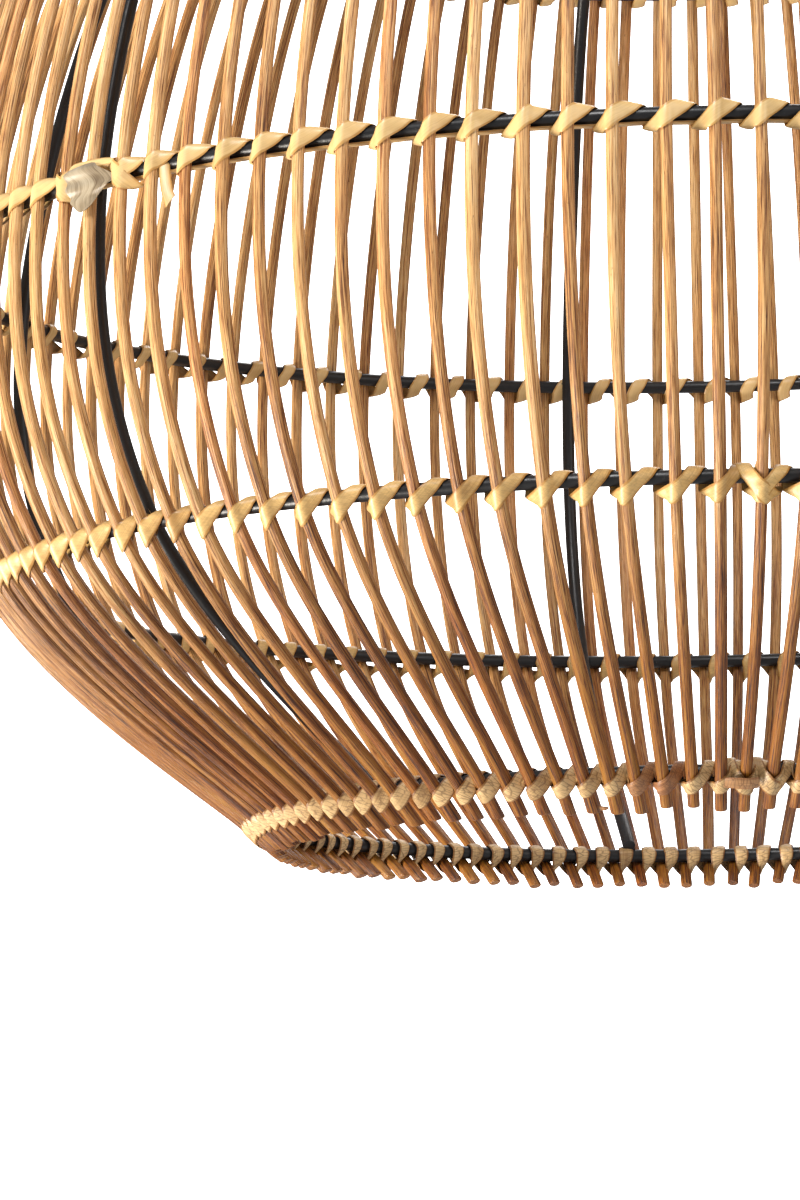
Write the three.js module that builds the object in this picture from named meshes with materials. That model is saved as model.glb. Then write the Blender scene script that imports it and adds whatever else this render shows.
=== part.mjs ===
// Pendant light with a round lantern shade of cane rods bound to wire hoops.
// Millimetres, +Z up, origin at the cord inlet on top of the lampholder.
import * as THREE from 'three';

// ---- driving dimensions ----
const gap = 0.3;                 // clearance kept between touching pieces

const wireDiameter = 4.6;        // hoops, ribs and spider arms
const caneDiameter = 4.0;
const canesPerRib = 19;          // rods between one rib and the next
const ribCount = 6;
const ribPhaseDeg = 11.8;        // first rib, measured from -Y towards +X
const canesPerPanel = 6;
const caneTipLow = 11;           // rods stand this far below the bottom hoop
const caneTipHigh = 8;           // and this far past the top hoop
const tieHeight = 7;             // strip turns that join the rods at the top hoop

const carrierPlane = -54;        // height of the spider ring and of the top hoop
// radius of each hoop's wire centre, and its drop below the top hoop
const hoops = [
  { name: 'top', radius: 125, drop: 0 },
  { name: 'shoulder', radius: 214, drop: 71 },
  { name: 'upper', radius: 260, drop: 214 },
  { name: 'belly', radius: 240, drop: 322 },
  { name: 'bottom', radius: 153, drop: 403 },
];
const hoopSegments = 36;
const wireSides = 5;

const bindingWidth = 8;
const bindingThickness = 0.8;

const spiderHoleRadius = 20.4;
const spiderRingRadius = 29;
const spiderRingThickness = 2;
const spiderArmCount = 3;

const gripRadius = 8;            // hexagonal cord grip, to its corners
const gripHeight = 12;
const cordBore = 3.5;
const nippleRadius = 5;
const nippleEnd = -26;
const capJoint = -44;            // height where the lampholder's cap meets its sleeve
const sleeveRadius = 19.6;       // threaded sleeve of the lampholder
const sleeveBore = 17.4;
const sleeveEnd = -78;
const flangeRadius = 26;
const flangeThickness = 2.6;
const nutHeight = 8;
const nutRadius = 27;
const nutRidges = 12;
const nutRidgeDepth = 1.2;

const insertLow = -49.5;         // ceramic contact insert
const insertShoulder = -41;
const insertHigh = -36;
const insertNeckRadius = 12;
const screwOffset = 7;           // terminal screws, either side of the axis
const screwRadius = 2.4;
const screwHeight = 2.7;
const shellRadius = 14.2;        // brass screw shell for a 27 mm cap
const shellWall = 0.5;
const shellEnd = -75;
const leafWidth = 5;             // the two brass contact leaves
const leafThickness = 0.6;
const sideLeafHeight = 20;

const bulbCapRadius = 13;        // screw cap of the bulb
const bulbCapWall = 1.8;
const bulbRadius = 30;
const bulbLength = 105;
const bulbTip = -52;             // height of the bulb's centre contact
const bulbNeckDrop = 28;         // from the centre contact to the top of the glass
const glassThickness = 1;

const turnSides = 20;            // sides of the turned fittings
const smallSides = 12;           // sides of the smallest ones

// ---- materials ----
function finish(color, roughness, metalness = 0) {
  return new THREE.MeshStandardMaterial({ color, roughness, metalness });
}
const cane = () => finish(0xb5804f, 0.6);
const peel = () => finish(0xdcbd84, 0.5);
const lacquer = () => finish(0x17181a, 0.4, 0.3);
const blackPlastic = () => finish(0x1a1a1c, 0.45);
const ceramic = () => finish(0xe9e6dd, 0.4);
const brass = () => finish(0xc49b4f, 0.35, 1);
const nickel = () => finish(0xb9bbbd, 0.35, 1);
const opalGlass = () => finish(0xf4f2ec, 0.3);

function piece(name, geometry, material) {
  const mesh = new THREE.Mesh(geometry, material);
  mesh.name = name;
  return mesh;
}

// ---- profile of the shade, in the radius-height plane ----
function at(hoop) {
  return new THREE.Vector2(hoop.radius, carrierPlane - hoop.drop);
}
const profile = new THREE.SplineCurve([...hoops].reverse().map(at));

// A station on the profile: its point, upward tangent and outward normal.
function station(t) {
  const tangent = profile.getTangent(t);
  const normal = new THREE.Vector2(tangent.y, -tangent.x);
  return { point: profile.getPoint(t), tangent, normal };
}
const hoopSpans = hoops.length - 1;
const atHoop = (index) => station((hoopSpans - index) / hoopSpans);
// stations that the rods and the ribs bend at, from the bottom hoop up
const bendStations = [0, 0.5, 1, 2, 2.5, 3, 4].map((span) => station(span / hoopSpans));

function offset(s, out, along = 0) {
  return s.point.clone().addScaledVector(s.normal, out).addScaledVector(s.tangent, along);
}

// The line of points at one distance outside the hoops' wire centres.
function offsetLine(out) {
  return bendStations.map((s) => offset(s, out));
}

// ---- wire frame ----
function onMeridian(point, angle) {
  return new THREE.Vector3(point.x * Math.sin(angle), -point.x * Math.cos(angle), point.y);
}

function roundSection(radius, sides) {
  const shape = new THREE.Shape();
  for (let i = 0; i < sides; i += 1) {
    const a = (2 * Math.PI * i) / sides;
    const x = radius * Math.cos(a);
    const y = radius * Math.sin(a);
    if (i === 0) shape.moveTo(x, y);
    else shape.lineTo(x, y);
  }
  shape.closePath();
  return shape;
}

// Turns a closed outline of radius-height points about Z.
function turned(points, sides = turnSides) {
  const outline = points.map(([r, z]) => new THREE.Vector2(r, z));
  if (THREE.ShapeUtils.isClockWise(outline)) outline.reverse();
  outline.push(outline[0].clone());
  const geometry = new THREE.LatheGeometry(outline, sides);
  geometry.rotateX(Math.PI / 2);
  return geometry;
}

function hoopRing(hoop) {
  const outline = [];
  for (let i = 0; i < wireSides; i += 1) {
    const a = (2 * Math.PI * i) / wireSides;
    const r = hoop.radius + (wireDiameter / 2) * Math.cos(a);
    outline.push([r, carrierPlane - hoop.drop + (wireDiameter / 2) * Math.sin(a)]);
  }
  const geometry = turned(outline, hoopSegments);
  geometry.rotateZ(THREE.MathUtils.degToRad(ribPhaseDeg));
  return geometry;
}

// A wire along points that lie in the plane X = 0, with mitred bends.
function sweepInPlane(points, radius) {
  const positions = [];
  const index = [];
  points.forEach((p, i) => {
    const before = points[Math.max(i - 1, 0)];
    const after = points[Math.min(i + 1, points.length - 1)];
    const along = after.clone().sub(before).normalize();
    const side = new THREE.Vector3(1, 0, 0);
    const out = new THREE.Vector3().crossVectors(along, side);
    for (let k = 0; k < wireSides; k += 1) {
      const a = (2 * Math.PI * k) / wireSides;
      const v = p.clone().addScaledVector(side, radius * Math.sin(a));
      v.addScaledVector(out, radius * Math.cos(a));
      positions.push(v.x, v.y, v.z);
    }
  });
  for (let i = 1; i < points.length; i += 1) {
    for (let k = 0; k < wireSides; k += 1) {
      const a = (i - 1) * wireSides + k;
      const b = (i - 1) * wireSides + ((k + 1) % wireSides);
      index.push(a, a + wireSides, b, b, a + wireSides, b + wireSides);
    }
  }
  const last = (points.length - 1) * wireSides;
  for (let k = 1; k < wireSides - 1; k += 1) {
    index.push(0, k, k + 1);
    index.push(last, last + k + 1, last + k);
  }
  return indexed(positions, index);
}

function indexed(positions, index) {
  const geometry = new THREE.BufferGeometry();
  geometry.setAttribute('position', new THREE.Float32BufferAttribute(positions, 3));
  geometry.setIndex(index);
  return geometry;
}

function rib(angle) {
  const line = offsetLine(-(wireDiameter + gap)).map((p) => onMeridian(p, 0));
  const geometry = sweepInPlane(line, wireDiameter / 2);
  geometry.rotateZ(angle);
  return geometry;
}

// ---- cane panel: rods side by side, joined by the strip turns at the top hoop ----
function caneRows(out) {
  const line = offsetLine(out);
  const top = atHoop(0);
  const tieLow = offset(top, out, -tieHeight / 2);
  const tipHigh = offset(top, out, caneTipHigh);
  const low = line[0];
  const slope = line[1].clone().sub(low);
  const tipLevel = carrierPlane - hoops[hoops.length - 1].drop - caneTipLow;
  const tipLow = low.clone().addScaledVector(slope, (tipLevel - low.y) / slope.y);
  return [tipLow, ...line.slice(1, -1), tieLow, tipHigh];
}

function canePanel(panel) {
  const inner = caneRows(wireDiameter / 2 + gap);
  const outer = caneRows(wireDiameter / 2 + gap + caneDiameter);
  const rows = inner.length;
  const columns = 2 * canesPerPanel;
  const pitch = (2 * Math.PI) / (canesPerRib * ribCount);
  const start = THREE.MathUtils.degToRad(ribPhaseDeg) + panel * canesPerPanel * pitch;
  const positions = [];
  // each rod has a left and a right edge, half a diameter either side of its meridian
  for (const line of [inner, outer]) {
    for (let row = 0; row < rows; row += 1) {
      for (let column = 0; column < columns; column += 1) {
        const angle = start + (Math.floor(column / 2) + 0.5) * pitch;
        const shift = ((column % 2) - 0.5) * caneDiameter;
        const p = onMeridian(line[row], angle);
        positions.push(p.x + shift * Math.cos(angle), p.y + shift * Math.sin(angle), p.z);
      }
    }
  }
  const vertex = (layer, row, column) => (layer * rows + row) * columns + column;
  const isRod = (column) => column % 2 === 0;
  const isTie = (row, column) => row === rows - 2 && column > 0 && column < columns - 2;
  const filled = (row, column) => {
    if (row < 0 || row > rows - 2 || column < 0 || column > columns - 2) return false;
    return isRod(column) || isTie(row, column);
  };
  const index = [];
  const quad = (a, b, c, d) => index.push(a, b, c, a, c, d);
  for (let row = 0; row < rows - 1; row += 1) {
    for (let column = 0; column < columns - 1; column += 1) {
      if (!filled(row, column)) continue;
      const corner = (layer, up, right) => vertex(layer, row + up, column + right);
      quad(corner(1, 0, 0), corner(1, 0, 1), corner(1, 1, 1), corner(1, 1, 0));
      quad(corner(0, 0, 0), corner(0, 1, 0), corner(0, 1, 1), corner(0, 0, 1));
      if (!filled(row, column - 1)) {
        quad(corner(0, 0, 0), corner(1, 0, 0), corner(1, 1, 0), corner(0, 1, 0));
      }
      if (!filled(row, column + 1)) {
        quad(corner(0, 0, 1), corner(0, 1, 1), corner(1, 1, 1), corner(1, 0, 1));
      }
      if (!filled(row - 1, column)) {
        quad(corner(0, 0, 0), corner(0, 0, 1), corner(1, 0, 1), corner(1, 0, 0));
      }
      if (!filled(row + 1, column)) {
        quad(corner(0, 1, 0), corner(1, 1, 0), corner(1, 1, 1), corner(0, 1, 1));
      }
    }
  }
  return indexed(positions, index);
}

// ---- peel binding: a thin band outside the rods at one hoop ----
function bindingBand(hoopIndex) {
  const s = atHoop(hoopIndex);
  const sagitta = 1 / Math.cos(Math.PI / hoopSegments);
  const out = wireDiameter / 2 + gap + caneDiameter + gap;
  const corners = [
    offset(s, out, -bindingWidth / 2),
    offset(s, out + bindingThickness, -bindingWidth / 2),
    offset(s, out + bindingThickness, bindingWidth / 2),
    offset(s, out, bindingWidth / 2),
  ];
  return turned(corners.map((p) => [p.x * sagitta, p.y]), hoopSegments);
}

// ---- spider: the carrier ring and its arms ----
function spiderRing() {
  const low = carrierPlane - spiderRingThickness / 2;
  const high = carrierPlane + spiderRingThickness / 2;
  return turned([
    [spiderHoleRadius, low],
    [spiderRingRadius, low],
    [spiderRingRadius, high],
    [spiderHoleRadius, high],
  ], 2 * turnSides);
}

function spiderArm(angle) {
  const start = spiderRingRadius + gap;
  const end = hoops[0].radius - wireDiameter / 2 - gap;
  const line = new THREE.LineCurve3(
    onMeridian(new THREE.Vector2(start, carrierPlane), angle),
    onMeridian(new THREE.Vector2(end, carrierPlane), angle),
  );
  return new THREE.ExtrudeGeometry(roundSection(wireDiameter / 2, 8), {
    steps: 1,
    extrudePath: line,
  });
}

// ---- lampholder ----
function cordGrip() {
  const shape = roundSection(gripRadius, 6);
  const bore = new THREE.Path();
  bore.absarc(0, 0, cordBore, 0, 2 * Math.PI, true);
  shape.holes.push(bore);
  const geometry = new THREE.ExtrudeGeometry(shape, {
    depth: gripHeight,
    bevelEnabled: false,
    curveSegments: smallSides,
  });
  geometry.translate(0, 0, -gripHeight);
  return geometry;
}

function tube(bore, radius, low, high, sides) {
  return turned([[bore, low], [radius, low], [radius, high], [bore, high]], sides);
}

function nipple() {
  return tube(cordBore, nippleRadius, nippleEnd, -gripHeight - gap, smallSides);
}

// A domed cap: its outside runs down from the cord grip, its inside back up.
function holderCap() {
  const top = -gripHeight - 2 * gap;
  const wall = 1.8;
  return turned([
    [nippleRadius + gap, top - 2], [nippleRadius + gap, top], [9, top], [15, -17], [18.6, -24],
    [sleeveRadius, -32], [sleeveRadius, capJoint],
    [sleeveRadius - wall, capJoint], [sleeveRadius - wall, -32], [16.9, -25], [13.8, -19], [8.5, top - 2],
  ]);
}

function holderSleeve() {
  const flangeLow = carrierPlane + spiderRingThickness / 2 + gap;
  const flangeHigh = flangeLow + flangeThickness;
  const top = capJoint - gap;
  return turned([
    [sleeveBore, sleeveEnd], [sleeveRadius, sleeveEnd], [sleeveRadius, flangeLow],
    [flangeRadius, flangeLow], [flangeRadius, flangeHigh], [sleeveRadius, flangeHigh],
    [sleeveRadius, top], [sleeveBore, top],
  ], 2 * turnSides);
}

// The shade ring nut: a turned nut with grip ridges round its rim.
function shadeRingNut() {
  const shape = new THREE.Shape();
  const steps = 4 * nutRidges;
  for (let i = 0; i < steps; i += 1) {
    const a = (2 * Math.PI * i) / steps;
    const r = i % 4 < 2 ? nutRadius : nutRadius - nutRidgeDepth;
    if (i === 0) shape.moveTo(r, 0);
    else shape.lineTo(r * Math.cos(a), r * Math.sin(a));
  }
  shape.closePath();
  const bore = new THREE.Path();
  bore.absarc(0, 0, sleeveRadius + gap, 0, 2 * Math.PI, true);
  shape.holes.push(bore);
  const geometry = new THREE.ExtrudeGeometry(shape, {
    depth: nutHeight,
    bevelEnabled: false,
    curveSegments: turnSides,
  });
  geometry.translate(0, 0, carrierPlane - spiderRingThickness / 2 - gap - nutHeight);
  return geometry;
}

function insert() {
  const radius = sleeveBore - gap;
  return turned([
    [0, insertLow], [radius, insertLow], [radius, insertShoulder],
    [insertNeckRadius, insertShoulder], [insertNeckRadius, insertHigh], [0, insertHigh],
  ]);
}

function screwShell() {
  return tube(shellRadius - shellWall, shellRadius, shellEnd, insertLow - gap, turnSides);
}

// Spring leaf that presses on the bulb's centre contact: flat at its root, then bent down.
function centreContact() {
  const high = insertLow - gap;
  const root = -9;
  const bend = -3;
  const end = 5;
  const dip = 1.2;
  const shape = new THREE.Shape();
  shape.moveTo(root, high - leafThickness);
  shape.lineTo(root, high);
  shape.lineTo(bend, high);
  shape.lineTo(end, high - dip);
  shape.lineTo(end, high - dip - leafThickness);
  shape.lineTo(bend, high - leafThickness);
  shape.closePath();
  const geometry = new THREE.ExtrudeGeometry(shape, { depth: leafWidth, bevelEnabled: false });
  geometry.translate(0, 0, -leafWidth / 2);
  geometry.rotateX(Math.PI / 2);
  return geometry;
}

// Upright leaf between the screw shell and the sleeve.
function sideContact() {
  const geometry = new THREE.BoxGeometry(leafThickness, leafWidth, sideLeafHeight);
  const height = insertLow - 1.5 - sideLeafHeight / 2;
  geometry.translate(shellRadius + gap + leafThickness / 2, 0, height);
  return geometry;
}

function terminalScrew(side) {
  const low = insertHigh + gap;
  const high = low + screwHeight;
  const geometry = turned([[0, low], [screwRadius, low], [screwRadius, high], [0, high]], smallSides);
  geometry.translate(side * screwOffset, 0, 0);
  return geometry;
}

// ---- bulb ----
const glassTop = bulbTip - bulbNeckDrop;
const glassBottom = bulbTip - bulbLength;
const glassCentre = glassBottom + bulbRadius;

function bulbTipContact() {
  const low = bulbTip - 1.2;
  return turned([[0, low], [4.5, low], [3.6, bulbTip], [0, bulbTip]], smallSides);
}

function bulbInsulator() {
  const high = bulbTip - 1.5;
  return turned([[0, high - 3], [10.5, high - 3], [6, high], [0, high]], smallSides);
}

// The screw cap: a turned cup whose top rim turns in over the insulator.
function bulbCap() {
  const bore = bulbCapRadius - bulbCapWall;
  const rim = bulbTip - 4.8;
  return turned([
    [9, rim - 1.2], [bore, -59.5], [bore, glassTop + gap], [bulbCapRadius, glassTop + gap],
    [bulbCapRadius, -60], [10.6, rim], [9, rim],
  ]);
}

// Neck and ball of the glass, as one wall that is open at the neck.
function bulbGlass() {
  const steps = 8;
  const wall = (inset) => {
    const points = [];
    for (let i = 0; i <= steps; i += 1) {
      const a = (Math.PI * i) / (1.5 * steps);
      const r = bulbRadius - inset;
      points.push([r * Math.sin(a), glassCentre - r * Math.cos(a)]);
    }
    points.push([18 - inset, glassCentre + 30], [13.4 - inset, glassTop]);
    return points;
  };
  return turned([...wall(0), ...wall(glassThickness).reverse()]);
}

// ---- assembly ----
const part = new THREE.Group();

const holder = new THREE.Group();
holder.add(piece('cord_grip', cordGrip(), blackPlastic()));
holder.add(piece('threaded_nipple', nipple(), nickel()));
holder.add(piece('lampholder_cap', holderCap(), blackPlastic()));
holder.add(piece('lampholder_sleeve', holderSleeve(), blackPlastic()));
holder.add(piece('contact_insert', insert(), ceramic()));
holder.add(piece('screw_shell', screwShell(), brass()));
holder.add(piece('centre_contact', centreContact(), brass()));
holder.add(piece('side_contact', sideContact(), brass()));
holder.add(piece('terminal_screw_live', terminalScrew(-1), nickel()));
holder.add(piece('terminal_screw_neutral', terminalScrew(1), nickel()));
part.add(holder);

part.add(piece('shade_ring_nut', shadeRingNut(), blackPlastic()));

const bulb = new THREE.Group();
bulb.add(piece('bulb_cap', bulbCap(), nickel()));
bulb.add(piece('bulb_insulator', bulbInsulator(), blackPlastic()));
bulb.add(piece('bulb_tip_contact', bulbTipContact(), brass()));
bulb.add(piece('bulb_glass', bulbGlass(), opalGlass()));
part.add(bulb);

const shade = new THREE.Group();
shade.add(piece('spider_ring', spiderRing(), lacquer()));
for (let i = 0; i < spiderArmCount; i += 1) {
  const angle = THREE.MathUtils.degToRad(ribPhaseDeg + (i * 360) / spiderArmCount);
  shade.add(piece(`spider_arm_${i + 1}`, spiderArm(angle), lacquer()));
}
hoops.forEach((hoop, i) => {
  shade.add(piece(`${hoop.name}_hoop`, hoopRing(hoop), lacquer()));
  shade.add(piece(`${hoop.name}_binding`, bindingBand(i), peel()));
});
for (let i = 0; i < ribCount; i += 1) {
  const angle = THREE.MathUtils.degToRad(ribPhaseDeg + (i * 360) / ribCount);
  shade.add(piece(`rib_${i + 1}`, rib(angle), lacquer()));
}
const panelCount = (canesPerRib * ribCount) / canesPerPanel;
for (let i = 0; i < panelCount; i += 1) {
  const number = String(i + 1).padStart(2, '0');
  shade.add(piece(`cane_panel_${number}`, canePanel(i), cane()));
}
part.add(shade);

export default part;
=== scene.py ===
import random
from math import cos, hypot, pi, radians, sin

import bmesh
import bpy
import numpy as np
from mathutils import Matrix, Vector


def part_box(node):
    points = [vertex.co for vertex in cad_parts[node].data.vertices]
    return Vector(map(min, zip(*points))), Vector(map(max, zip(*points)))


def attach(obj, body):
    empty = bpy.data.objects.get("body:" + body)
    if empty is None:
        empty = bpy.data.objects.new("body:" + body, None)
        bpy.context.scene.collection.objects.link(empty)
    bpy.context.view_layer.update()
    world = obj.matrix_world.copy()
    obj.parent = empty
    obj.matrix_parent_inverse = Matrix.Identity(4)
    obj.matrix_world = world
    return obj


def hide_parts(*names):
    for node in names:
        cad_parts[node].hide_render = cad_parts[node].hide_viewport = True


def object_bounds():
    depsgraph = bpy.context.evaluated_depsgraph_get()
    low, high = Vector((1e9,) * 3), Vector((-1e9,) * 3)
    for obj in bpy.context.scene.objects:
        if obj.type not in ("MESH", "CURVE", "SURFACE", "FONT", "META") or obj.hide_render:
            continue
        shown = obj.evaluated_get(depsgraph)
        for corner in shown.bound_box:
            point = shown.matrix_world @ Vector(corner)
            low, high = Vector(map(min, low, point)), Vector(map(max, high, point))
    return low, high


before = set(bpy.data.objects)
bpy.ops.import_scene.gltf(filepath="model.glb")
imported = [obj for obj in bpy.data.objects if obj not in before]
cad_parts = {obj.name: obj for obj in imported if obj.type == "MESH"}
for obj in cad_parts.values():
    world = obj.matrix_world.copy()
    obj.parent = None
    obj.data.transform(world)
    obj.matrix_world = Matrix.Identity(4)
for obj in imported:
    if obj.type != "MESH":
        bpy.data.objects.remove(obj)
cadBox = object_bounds()
mm = 0.001
print("frame loaded:", len(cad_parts), "parts")

hoopNames = ["bottom", "belly", "upper", "shoulder", "top"]  # from the floor up
panelNames = sorted(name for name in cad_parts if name.startswith("cane_panel_"))
ribNames = sorted(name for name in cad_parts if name.startswith("rib_"))
armNames = sorted(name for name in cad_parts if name.startswith("spider_arm_"))

shadeSettings = {
    "rodsPerPanel": 6,
    "firstRib": 11.8,  # degrees from the front, turning to the right
    "wire": 2.3,  # radius of hoops and ribs, mm
    "rod": 2.0,  # radius of a cane rod, mm
}
rodCount = len(panelNames) * shadeSettings["rodsPerPanel"]


def hoopPlace(name):
    # radius and height of a hoop's wire centre, taken from its part in the frame
    reach = max(hypot(v.co.x, v.co.y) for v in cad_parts[name + "_hoop"].data.vertices)
    low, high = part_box(name + "_hoop")
    return [reach - shadeSettings["wire"] * mm, (low[2] + high[2]) / 2]


hoopPlaces = np.array([hoopPlace(name) for name in hoopNames])


def profileAt(spans):
    # the shade's outline through the hoops: radius and height, one span from hoop to hoop
    spans = np.atleast_1d(np.asarray(spans, float))
    last = len(hoopPlaces) - 1
    start = np.clip(np.floor(spans).astype(int), 0, last - 1)
    t = (spans - start)[:, None]
    before = hoopPlaces[np.maximum(start - 1, 0)]
    a = hoopPlaces[start]
    b = hoopPlaces[start + 1]
    after = hoopPlaces[np.minimum(start + 2, last)]
    slopeA = (b - before) / 2
    slopeB = (after - a) / 2
    curve = (2 * a - 2 * b + slopeA + slopeB) * t**3
    return curve + (3 * b - 3 * a - 2 * slopeA - slopeB) * t**2 + slopeA * t + a


def profileFrame(spans):
    # points, upward tangents and outward normals along the outline
    step = 1e-3
    last = len(hoopPlaces) - 1
    points = profileAt(spans)
    tangent = profileAt(np.clip(spans + step, 0, last)) - profileAt(np.clip(spans - step, 0, last))
    tangent /= np.linalg.norm(tangent, axis=1)[:, None]
    normal = np.stack([tangent[:, 1], -tangent[:, 0]], 1)
    return points, tangent, normal


def onShade(flat, angle):
    # radius and height turned round to an angle from the front
    return np.stack([flat[..., 0] * np.sin(angle), -flat[..., 0] * np.cos(angle), flat[..., 1]], -1)


def unit(v):
    return v / np.maximum(np.linalg.norm(v, axis=-1, keepdims=True), 1e-12)


def smoothRows(values, steps, period=None):
    # Catmull-Rom through the rows of values; with a period the last row runs on into the first
    values = np.asarray(values, float)
    if period is None:
        before = 2 * values[:1] - values[1:2]
        after = 2 * values[-1:] - values[-2:-1]
        padded = np.concatenate([before, values, after])
    else:
        padded = np.concatenate([values[-1:] - period, values, values[:2] + period])
    a, b, c, d = (padded[k:len(padded) - 3 + k, None] for k in range(4))
    t = (np.arange(steps) / steps)[None, :, None]
    slopeB = (c - a) / 2
    slopeC = (d - b) / 2
    rows = (2 * b - 2 * c + slopeB + slopeC) * t**3
    rows = rows + (3 * c - 3 * b - 2 * slopeB - slopeC) * t**2 + slopeB * t + b
    rows = rows.reshape(-1, values.shape[1])
    return rows if period is not None else np.concatenate([rows, values[-1:]])


def newBag():
    return {"points": [], "faces": [], "grain": [], "values": {}, "count": 0}


def addRings(bag, rings, grain, loop=False, **values):
    # one closed outline of points after another, joined into a skin; open ends are capped
    count, sides = rings.shape[:2]
    first = bag["count"]
    i, j = np.meshgrid(np.arange(count if loop else count - 1), np.arange(sides), indexing="ij")
    nextRow = (i + 1) % count
    nextSide = (j + 1) % sides
    quads = [i * sides + j, i * sides + nextSide, nextRow * sides + nextSide, nextRow * sides + j]
    bag["faces"] += (np.stack(quads, -1).reshape(-1, 4) + first).tolist()
    if not loop:
        bag["faces"].append(list(range(first + sides - 1, first - 1, -1)))
        bag["faces"].append(list(range(first + (count - 1) * sides, first + count * sides)))
    bag["points"].append(rings.reshape(-1, 3))
    bag["grain"].append(np.broadcast_to(grain, rings.shape).reshape(-1, 3))
    for name, value in values.items():
        spread = np.broadcast_to(np.asarray(value, float), (count, sides)).reshape(-1)
        bag["values"].setdefault(name, []).append(spread)
    bag["count"] += count * sides


def addSweep(bag, centre, normal, section, shift=0.0, loop=False, level=None, **values):
    # section holds, for each point of the path, its outline as (out, across) pairs;
    # a level cuts the first end off at that height, between flat and square to the path
    if loop:
        along = np.roll(centre, -1, 0) - np.roll(centre, 1, 0)
    else:
        along = np.gradient(centre, axis=0)
    along = unit(along)
    normal = unit(normal - (normal * along).sum(1, keepdims=True) * along)
    across = np.cross(along, normal)
    rings = centre[:, None] + section[..., :1] * normal[:, None] + section[..., 1:] * across[:, None]
    if level is not None:
        facing = unit(along[0] + np.array([0, 0, 1.5]))
        for row, height in ((0, level), (1, level + 0.3 * mm)):
            middle = centre[0] + along[0] * (height - centre[0, 2]) / along[0, 2]
            gap = (middle - rings[row]) @ facing
            rings[row] += along[row] * (gap / (along[row] @ facing))[:, None]
    length = np.concatenate([[0], np.cumsum(np.linalg.norm(np.diff(centre, axis=0), axis=1))])
    grain = np.empty(rings.shape)
    grain[..., 0] = section[..., 1] + shift
    grain[..., 1] = section[..., 0] + shift * 0.7
    grain[..., 2] = length[:, None] + shift * 3
    addRings(bag, rings, grain, loop, **values)


def bagToPiece(bag, name, material, body, replaced=(), sharp=50):
    mesh = bpy.data.meshes.new(name)
    mesh.from_pydata(np.concatenate(bag["points"]).tolist(), [], bag["faces"])
    work = bmesh.new()
    work.from_mesh(mesh)
    bmesh.ops.recalc_face_normals(work, faces=work.faces)
    work.to_mesh(mesh)
    work.free()
    grain = mesh.attributes.new("grain", "FLOAT_VECTOR", "POINT")
    grain.data.foreach_set("vector", np.concatenate(bag["grain"]).astype(np.float32).ravel())
    for key, parts in bag["values"].items():
        values = mesh.attributes.new(key, "FLOAT", "POINT")
        values.data.foreach_set("value", np.concatenate(parts).astype(np.float32))
    mesh.polygons.foreach_set("use_smooth", [True] * len(mesh.polygons))
    mesh.set_sharp_from_angle(angle=radians(sharp))
    mesh.materials.append(material)
    mesh.update()
    piece = bpy.data.objects.new(name, mesh)
    bpy.context.scene.collection.objects.link(piece)
    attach(piece, body)
    if replaced:
        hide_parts(*replaced)
    return piece


def circleSection(radius, sides, count):
    turn = np.arange(sides) * 2 * pi / sides
    ring = np.stack([np.cos(turn), np.sin(turn)], 1) * radius
    return np.broadcast_to(ring, (count, sides, 2)).copy()


def newMaterial(name, roughness=0.5, metallic=0.0):
    material = bpy.data.materials.new(name)
    material.use_nodes = True
    shader = material.node_tree.nodes["Principled BSDF"]
    shader.inputs["Roughness"].default_value = roughness
    shader.inputs["Metallic"].default_value = metallic
    return material, material.node_tree, shader


def addNode(tree, kind, values=None, **settings):
    node = tree.nodes.new(kind)
    for key, value in settings.items():
        setattr(node, key, value)
    for key, value in (values or {}).items():
        if isinstance(value, bpy.types.NodeSocket):
            tree.links.new(value, node.inputs[key])
        else:
            node.inputs[key].default_value = value
    return node


def attribute(tree, name, output="Fac"):
    return addNode(tree, "ShaderNodeAttribute", attribute_name=name).outputs[output]


def stretchedNoise(tree, vector, scale, detail=3.0, roughness=0.55):
    place = addNode(tree, "ShaderNodeMapping", {"Vector": vector, "Scale": scale})
    values = {"Vector": place.outputs[0], "Scale": 1.0, "Detail": detail, "Roughness": roughness}
    return addNode(tree, "ShaderNodeTexNoise", values).outputs["Fac"]


def calc(tree, operation, a, b=0.0, clamp=False):
    return addNode(tree, "ShaderNodeMath", {0: a, 1: b}, operation=operation, use_clamp=clamp).outputs[0]


def blendValues(tree, start, parts):
    # start plus, for each (value, middle, amount), amount times how far the value lies from its middle
    total = start
    for value, middle, amount in parts:
        swing = calc(tree, "MULTIPLY", calc(tree, "SUBTRACT", value, middle), amount)
        total = calc(tree, "ADD", swing, total)
    return calc(tree, "ADD", total, 0.0, True)


def ramp(tree, value, stops):
    node = addNode(tree, "ShaderNodeValToRGB", {"Fac": value})
    elements = node.color_ramp.elements
    while len(elements) < len(stops):
        elements.new(0.5)
    for element, (position, colour) in zip(elements, stops):
        element.position = position
        element.color = (*colour, 1)
    return node.outputs["Color"]


def grey(value):
    return (value, value, value)


def mixColour(tree, factor, a, b, blend="MIX"):
    node = addNode(tree, "ShaderNodeMix", data_type="RGBA", blend_type=blend)
    for socket, value in ((node.inputs[0], factor), (node.inputs[6], a), (node.inputs[7], b)):
        if isinstance(value, bpy.types.NodeSocket):
            tree.links.new(value, socket)
        else:
            socket.default_value = value if isinstance(value, float) else (*value, 1)
    return node.outputs[2]


def bump(tree, shader, height, distance, strength=1.0):
    values = {"Height": height, "Distance": distance, "Strength": strength}
    node = addNode(tree, "ShaderNodeBump", values)
    tree.links.new(node.outputs[0], shader.inputs["Normal"])


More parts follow.
